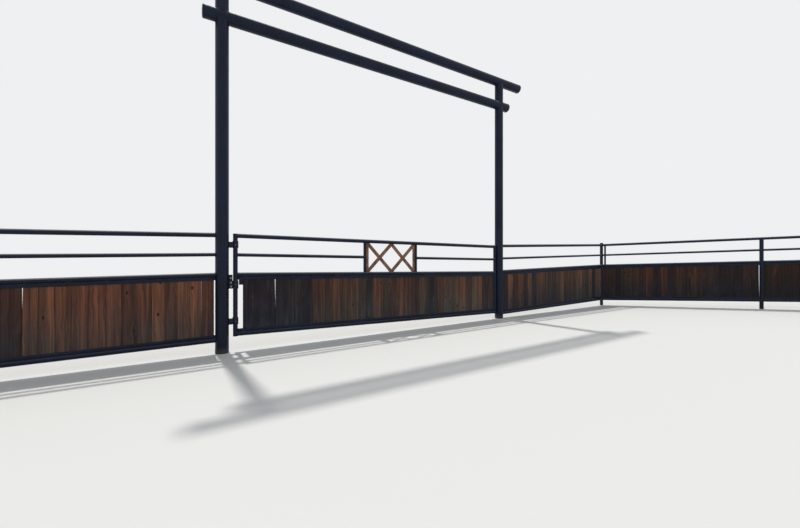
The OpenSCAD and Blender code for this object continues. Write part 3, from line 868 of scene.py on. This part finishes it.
# %% Welds of the wings
RAIL_SEAT = 0.0292
wing_paths = []
for (side, bay), panel in WINGS.items():
    run_dir = Vector((*panel.along, panel.slope)).normalized()
    datum = panel.bottom - WING_BOTTOM_Z - RAIL_R * math.sqrt(1 + panel.slope ** 2) - CHANNEL_T
    near_r = POST_R if bay == 1 else FENCE_R
    for z, radius in ((TOP_Z, RAIL_R), (SECOND_Z, SLIM_R), (THIRD_Z, RAIL_R), (WING_BOTTOM_Z, RAIL_R)):
        start = Vector((*panel.near, datum + z))
        end = Vector((*panel.far, datum + z + panel.slope * panel.length))
        if z == TOP_Z and bay == 3:
            wing_paths.append((TACK_BEAD, True, circle(start, run_dir, RAIL_R)))
        else:
            wing_paths.append((RAIL_BEAD, True, saddle(start, run_dir, radius, (start, UP, near_r))))
        if not (z == TOP_Z and bay == 2):
            wing_paths.append((RAIL_BEAD, True, saddle(end, -run_dir, radius, (end, UP, FENCE_R))))
    if bay == 2:
        foot, rise = panel.near + panel.along * STILE_X, datum + panel.slope * STILE_X
        for z, radius, headings in ((THIRD_Z, RAIL_R, (UP,)), (TOP_Z, RAIL_R, (-UP,)),
                                    (SECOND_Z, SLIM_R, (UP, -UP))):
            centre = Vector((*foot, rise + z))
            for heading in headings:
                outline = saddle(centre, heading, STILE_R, (centre, run_dir, radius))
                wing_paths.append((STILE_BEAD, True, outline))
        rail = Vector((*panel.far, datum + TOP_Z + panel.slope * panel.length))
        sweep = [RAIL_SEAT * (k / 8 - 1) for k in range(17)]
        rim = [(math.sqrt(FENCE_R ** 2 - y * y), y) for y in sweep]
        rim += [(-x, y) for x, y in reversed(rim)]
        wing_paths.append((STILE_BEAD, True, [
            rail + run_dir * x + Vector((*(panel.back * y), -math.sqrt(RAIL_R ** 2 - y * y)))
            for x, y in rim]))
for node in nodes:
    if node.endswith(("corner_post", "end_post")):
        low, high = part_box(node)
        centre = Vector(((low.x + high.x) / 2, (low.y + high.y) / 2, high.z - POST_PLUG_DEPTH))
        wing_paths.append((TACK_BEAD, True, circle(centre, UP, FENCE_R - PLUG_EDGE)))
weld("wing_welds", "entrance", wing_paths)

# %% [markdown]
# The channels are tacked to the rails with short beads, a hand's length every third of a
# metre. One bead is made with the weld tree, and a small tree repeats it along a line.

# %% Stitch welds
repeat_tree, given = new_tree("repeated_bead", Bead="Object", Count="Int", Step="Vector", Seed="Int",
                              Material="Material")
spots = add(repeat_tree, "GeometryNodeMeshLine",
            {"Count": given["Count"], "Offset": given["Step"]}).outputs[0]
size = chance(repeat_tree, (0.8, 0.9, 0.9), (1.25, 1.1, 1.1), given["Seed"], vector=True)
close_tree(repeat_tree, copies(repeat_tree, spots, given["Bead"], Scale=size), given["Material"])

STITCH_PITCH = 0.33
STITCH_INSET = 0.08
STITCH_LIFT = 0.0022
stitch_path = ((0.0025, 0.0042, 0.0025), False, [(x, 0.0, 0.0) for x in (-0.02, 0.0, 0.02)])
stitch = bpy.data.objects.new("stitch", beads("stitch", [stitch_path], step=0.004))
stitch_meshes = {"gate": [], "entrance": []}
for number, panel in enumerate((GATE, *WINGS.values())):
    first = HINGE_X + RAIL_R if panel is GATE else panel.first
    last = LATCH_X - RAIL_R if panel is GATE else panel.last
    count = int((last - first - 0.1) / STITCH_PITCH) + 1
    step = (last - first - 2 * STITCH_INSET) / (count - 1)
    tilt = Matrix.Rotation(-math.atan(panel.slope), 4, "Y")
    for z in (-CHANNEL_T - STITCH_LIFT, panel.height + CHANNEL_T + STITCH_LIFT):
        for y in (-CHANNEL_W / 2, CHANNEL_W / 2):
            mesh = run_tree(repeat_tree, Bead=stitch, Count=count, Step=(step, 0.0, 0.0),
                            Seed=number, Material=WELD_PAINT)
            stitch_meshes[panel.body].append(panel.lay(mesh, first + STITCH_INSET, y, z, tilt))
bpy.data.objects.remove(stitch)
for body, meshes in stitch_meshes.items():
    piece_from(f"{body}_stitch_welds", meshes, body)

# %% [markdown]
# Each board is held by a screw through the back of each channel. Its head is hexagonal,
# with a washer. Such small turned parts are stacks of rings of twelve points, where a
# hexagon is a ring whose every second point lies on the middle of a side.


# %% Turned parts
def turned(name, rings):
    """A part along +Y that stands on y = 0. Each ring is its radius, its y and hexagonal or not."""
    verts = []
    for radius, y, hexagonal in rings:
        for k in range(12):
            r = radius * math.cos(math.pi / 6) if hexagonal and k % 2 else radius
            verts.append((r * math.cos(math.pi * k / 6), y, r * math.sin(math.pi * k / 6)))
    faces = [tuple(range(12)), tuple(reversed(range(12 * len(rings) - 12, 12 * len(rings))))]
    for a in range(0, 12 * len(rings) - 12, 12):
        faces += [(a + k, a + 12 + k, a + 12 + (k + 1) % 12, a + (k + 1) % 12) for k in range(12)]
    mesh = bpy.data.meshes.new(name)
    mesh.from_pydata(verts, [], faces)
    return mesh


SCREW_RINGS = [(0.0068, 0.0, 0), (0.0064, 0.0012, 0), (0.0046, 0.0012, 1), (0.0046, 0.0044, 1),
               (0.0038, 0.0052, 1)]

# %% The row of screws
screw_tree, given = new_tree("row_of_screws", Screw="Object", Count="Int", Length="Float",
                             Rake="Float", Seed="Int", Material="Material")
spots, _ = stations(screw_tree, given, chance(screw_tree, -0.02, 0.02, given["Seed"]))
turn = chance(screw_tree, (0.0, 0.0, 0.0), (0.0, math.pi / 3, 0.0), given["Seed"], vector=True)
close_tree(screw_tree, copies(screw_tree, spots, given["Screw"], Rotation=turn), given["Material"])

SCREW_OFFSET = 0.004
screw = bpy.data.objects.new("screw", turned("screw", SCREW_RINGS))
screw_meshes = {"gate": [], "entrance": []}
for panel in (GATE, *WINGS.values()):
    length = panel.last - panel.first
    for z in (CHANNEL_H / 2 - SCREW_OFFSET, panel.height - CHANNEL_H / 2 + SCREW_OFFSET):
        mesh = run_tree(screw_tree, Screw=screw, Count=round(length / BOARD_WIDTH), Length=length,
                        Rake=panel.slope, Seed=ROWS[panel.node][0], Material=ZINC)
        screw_meshes[panel.body].append(panel.lay(mesh, panel.first, CHANNEL_W / 2, z))
bpy.data.objects.remove(screw)
for body, meshes in screw_meshes.items():
    piece_from(f"{body}_board_screws", meshes, body)

# %% [markdown]
# The hinges need grease, so each collar has a nipple at its front. The middle hinge is
# the heavy one, and its arm and gusset are bolted through.

# %% Nipples and bolts
NIPPLE_RINGS = [(0.0058, 0.0, 1), (0.0058, 0.005, 1), (0.0034, 0.0056, 0), (0.0024, 0.009, 0),
                (0.0036, 0.011, 0), (0.0036, 0.0135, 0), (0.0016, 0.0155, 0)]
BOLT_RINGS = [(0.0125, 0.0, 0), (0.0125, 0.0024, 0), (0.0104, 0.0024, 1), (0.0104, 0.0088, 1),
              (0.009, 0.0102, 1)]
COLLAR_R = 0.0387
BOLTS = ((0.107, ARM_Y, 0.028), (0.107, ARM_Y, 0.082), (0.106, GUSSET_Y, 0.145))
fittings = []
for hinge, arm_height in ARM_HEIGHTS.items():
    fittings.append((NIPPLE_RINGS, HINGE_X, -COLLAR_R + 0.001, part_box(hinge)[0].z + arm_height / 2, -1))
for x, y, rise in BOLTS:
    fittings += [(BOLT_RINGS, x, side * y, arm_foot + rise, side) for side in (-1, 1)]
fitting_meshes = []
for number, (rings, x, y, z, facing) in enumerate(fittings):
    mesh = turned("fitting", rings)
    spin = Matrix.Rotation(0.7 * number, 4, "Y")
    mesh.transform(Matrix.Translation((x, y, z)) @ Matrix.Rotation(math.pi * (facing < 0), 4, "Z") @ spin)
    mesh.materials.append(ZINC)
    fitting_meshes.append(mesh)
piece_from("hinge_nipples_and_bolts", fitting_meshes, "entrance", smooth=35)

# %% [markdown]
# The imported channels, hinges and ornament have knife-sharp edges. Bent and cut steel has
# small round ones that catch the light. So each gets a copy with its corner points merged
# and a narrow bevel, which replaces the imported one.


# %% Round the sharp edges
def softened(node, name, body, material, width):
    mesh = nodes[node].data.copy()
    shape = bmesh.new()
    shape.from_mesh(mesh)
    bmesh.ops.remove_doubles(shape, verts=shape.verts, dist=1e-5)
    bmesh.ops.dissolve_limit(shape, angle_limit=math.radians(1.0), verts=shape.verts, edges=shape.edges)
    sharp = [e for e in shape.edges if e.is_manifold and e.calc_face_angle(0.0) > math.radians(30)]
    bmesh.ops.bevel(shape, geom=sharp, offset=width, offset_type="OFFSET", segments=2,
                    profile=0.5, affect="EDGES", clamp_overlap=True)
    shape.to_mesh(mesh)
    shape.free()
    mesh.materials.clear()
    mesh.materials.append(material)
    piece_from(name, [mesh], body, [node], smooth=40)


BENT_EDGE, CUT_EDGE, RING_EDGE = 0.0015, 0.0012, 0.001
for panel in (GATE, *WINGS.values()):
    softened(panel.node.replace("boards", "channels"), panel.node.replace("boards", "board_channels"),
             panel.body, PAINT, BENT_EDGE)
for hinge in ARM_HEIGHTS:
    softened(hinge, hinge + "_steel", "entrance", RUBBED_PAINT, BENT_EDGE)
softened("gate_hinge_rings", "gate_hinge_ring_steel", "gate", RUBBED_PAINT, RING_EDGE)
softened("gate_ornament", "gate_lozenge_plate", "gate", RUST, CUT_EDGE)

# %% [markdown]
# A plain pale floor follows the slope of the ground and fades into a pale background. A
# sun stands behind the gate, as in the photo, so the posts throw their shadows towards
# the camera, and an even sky lights the sides that face it.

# %% Floor, sky and sun
PALE = (0.86, 0.87, 0.88)
TOWARDS_SUN = (-0.16, 2.31, 4.8)
FLOOR_REACH = 90.0
FLOOR_DROP = 0.001
FADE_CENTRE = (2.6, -1.0, 0.0)
FADE_START, FADE_END = 9.0, 26.0


def camera_sees(tree):
    """1 for rays that show the background: from the camera, off a gloss or through glass."""
    rays = add(tree, "ShaderNodeLightPath").outputs
    bright = calc(tree, "MAXIMUM", rays["Is Glossy Ray"], rays["Is Transmission Ray"])
    return calc(tree, "MAXIMUM", rays["Is Camera Ray"], bright)


world = bpy.data.worlds.new("pale_sky")
bpy.context.scene.world = world
world.use_nodes = True
sky = world.node_tree
sky.nodes.clear()
lit = add(sky, "ShaderNodeBackground", {"Color": (0.92, 0.96, 1.0, 1.0), "Strength": 0.62})
seen = add(sky, "ShaderNodeBackground", {"Color": (*PALE, 1.0), "Strength": 1.0})
both = add(sky, "ShaderNodeMixShader", {0: camera_sees(sky), 1: lit.outputs[0], 2: seen.outputs[0]})
add(sky, "ShaderNodeOutputWorld", {"Surface": both.outputs[0]})

sun_data = bpy.data.lights.new("sun", "SUN")
sun_data.energy = 2.5
sun_data.angle = math.radians(2.5)
sun_data.color = (1.0, 0.97, 0.92)
sun = linked("sun", sun_data)
sun.rotation_euler = Vector(TOWARDS_SUN).to_track_quat("Z", "Y").to_euler()

floor_mesh = bpy.data.meshes.new("floor")
corners = [(FLOOR_REACH * x, FLOOR_REACH * y) for x, y in ((-1, -1), (1, -1), (1, 1), (-1, 1))]
floor_mesh.from_pydata([(x, y, GRADE * x - FLOOR_DROP) for x, y in corners], [], [(0, 1, 2, 3)])
floor = linked("floor", floor_mesh)
pale, tree, shader, coords = new_material("pale_floor")
shader.inputs["Base Color"].default_value = (0.66, 0.66, 0.65, 1.0)
shader.inputs["Roughness"].default_value = 0.9
shader.inputs["Specular IOR Level"].default_value = 0.1
away = add(tree, "ShaderNodeVectorMath", {0: coords, 1: FADE_CENTRE}, operation="DISTANCE").outputs["Value"]
glow = add(tree, "ShaderNodeEmission", {"Color": (*PALE, 1.0), "Strength": 1.0})
fade = times(tree, ease(tree, away, FADE_START, FADE_END), camera_sees(tree))
blended = add(tree, "ShaderNodeMixShader", {0: fade, 1: shader.outputs[0], 2: glow.outputs[0]})
tree.links.new(blended.outputs[0], tree.nodes["Material Output"].inputs["Surface"])
floor_mesh.materials.append(pale)
